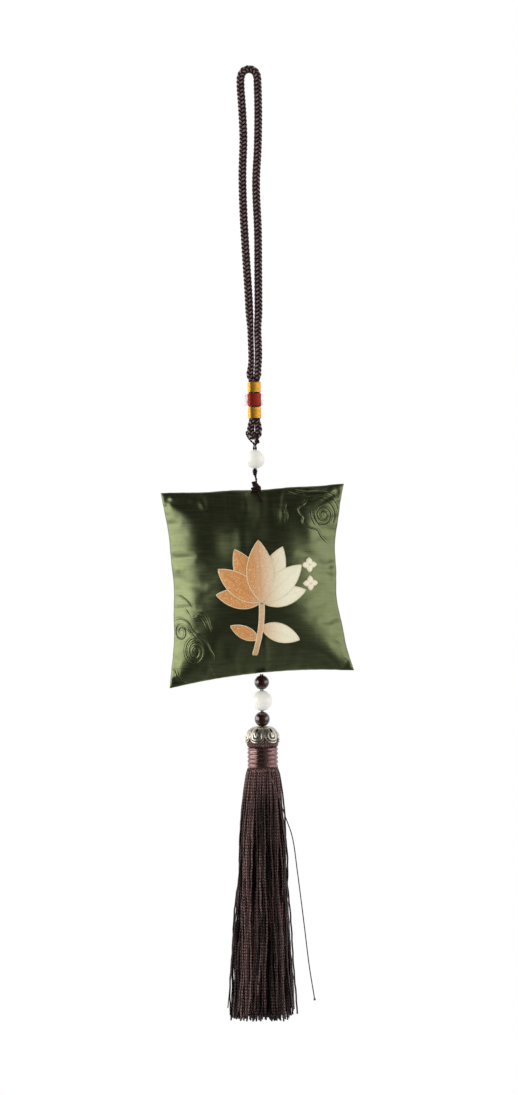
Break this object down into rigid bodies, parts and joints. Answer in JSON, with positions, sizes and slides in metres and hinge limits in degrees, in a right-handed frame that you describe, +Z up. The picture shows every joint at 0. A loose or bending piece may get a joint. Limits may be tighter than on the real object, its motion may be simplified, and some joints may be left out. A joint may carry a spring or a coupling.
{
  "type": "hanging sachet charm with tassel",
  "caption": "Stuffed satin pillow charm on a long braided hanging loop, with thread wraps, round beads, a petal cap and a long silk tassel.",
  "frame": {"origin": "inside top of the hanging loop, the point that a hook or a thread carries", "axes": "+Z up, +X to the right seen from the front, the embroidered front faces -Y"},
  "size_m": [0.0803, 0.025, 0.4002],
  "materials": {
    "braided_cord": "matte",
    "gold_thread": "satin",
    "red_thread": "satin",
    "thin_string": "matte",
    "pale_stone": "gloss",
    "green_satin": "satin",
    "fibre_filling": "matte",
    "herb_packet": "matte",
    "gold_stitching": "satin",
    "dark_bead": "gloss",
    "silver_metal": "polished",
    "tassel_silk": "satin",
    "binding_silk": "satin"
  },
  "bodies": {
    "hanger": {"hanging_cord": "braided_cord", "wrap_gold_upper": "gold_thread", "wrap_red": "red_thread", "wrap_gold_lower": "gold_thread"},
    "hitch": {"hitch_loop": "thin_string"},
    "bead_string": {"upper_string": "thin_string"},
    "upper_bead": {"upper_pale_bead": "pale_stone"},
    "stopper": {"stopper_knot": "thin_string"},
    "tie": {"sachet_tie": "thin_string"},
    "sachet": {"top_knot": "thin_string", "cover_front": "green_satin", "cover_back": "green_satin", "filling_front": "fibre_filling", "filling_back": "fibre_filling", "herb_packet": "herb_packet", "gold_blossom": "gold_stitching", "gold_stem": "gold_stitching", "small_floret_upper": "gold_stitching", "small_floret_lower": "gold_stitching"},
    "lower_cord": {"lower_string": "thin_string"},
    "seam_bead": {"dark_bead_upper": "dark_bead"},
    "middle_bead": {"lower_pale_bead": "pale_stone"},
    "cap_bead": {"dark_bead_lower": "dark_bead"},
    "tassel_cord": {"tassel_string": "thin_string"},
    "cap": {"tassel_cap": "silver_metal"},
    "tassel": {"tassel_head": "tassel_silk", "tassel_binding": "binding_silk", "tassel_skirt": "tassel_silk"}
  },
  "joints": [
    {"name": "hitch_swing", "type": "hinge", "parent": "hanger", "child": "hitch", "pos_m": [0.0003, 0, -0.1512], "axis": [1, 0, 0], "range_deg": [-60, 60]},
    {"name": "string_sway", "type": "hinge", "parent": "hitch", "child": "bead_string", "pos_m": [0.0003, 0, -0.15465], "axis": [0, 1, 0], "range_deg": [-40, 40]},
    {"name": "upper_bead_spin", "type": "hinge", "parent": "bead_string", "child": "upper_bead", "pos_m": [0.0003, 0, -0.16085], "axis": [0, 0, 1], "continuous": true},
    {"name": "string_twist", "type": "hinge", "parent": "bead_string", "child": "stopper", "pos_m": [0.0003, 0, -0.1665], "axis": [0, 0, 1], "range_deg": [-180, 180]},
    {"name": "tie_sway", "type": "hinge", "parent": "stopper", "child": "tie", "pos_m": [0.0003, 0, -0.1665], "axis": [0, 1, 0], "range_deg": [-30, 30]},
    {"name": "sachet_nod", "type": "hinge", "parent": "tie", "child": "sachet", "pos_m": [0.0003, 0, -0.17125], "axis": [1, 0, 0], "range_deg": [-60, 60]},
    {"name": "tassel_swing", "type": "hinge", "parent": "sachet", "child": "lower_cord", "pos_m": [0.00183, 0, -0.25058], "axis": [1, 0, 0], "range_deg": [-40, 40]},
    {"name": "seam_bead_spin", "type": "hinge", "parent": "lower_cord", "child": "seam_bead", "pos_m": [0.00183, 0, -0.25383], "axis": [0, 0, 1], "continuous": true},
    {"name": "middle_bead_spin", "type": "hinge", "parent": "lower_cord", "child": "middle_bead", "pos_m": [0.00183, 0, -0.26143], "axis": [0, 0, 1], "continuous": true},
    {"name": "cap_bead_spin", "type": "hinge", "parent": "lower_cord", "child": "cap_bead", "pos_m": [0.00183, 0, -0.26913], "axis": [0, 0, 1], "continuous": true},
    {"name": "tassel_sway", "type": "hinge", "parent": "lower_cord", "child": "tassel_cord", "pos_m": [0.00183, 0, -0.26913], "axis": [0, 1, 0], "range_deg": [-30, 30]},
    {"name": "cap_spin", "type": "hinge", "parent": "tassel_cord", "child": "cap", "pos_m": [0.00183, 0, -0.2755], "axis": [0, 0, 1], "continuous": true},
    {"name": "tassel_twist", "type": "hinge", "parent": "tassel_cord", "child": "tassel", "pos_m": [0.00183, 0, -0.28023], "axis": [0, 0, 1], "range_deg": [-180, 180]}
  ]
}
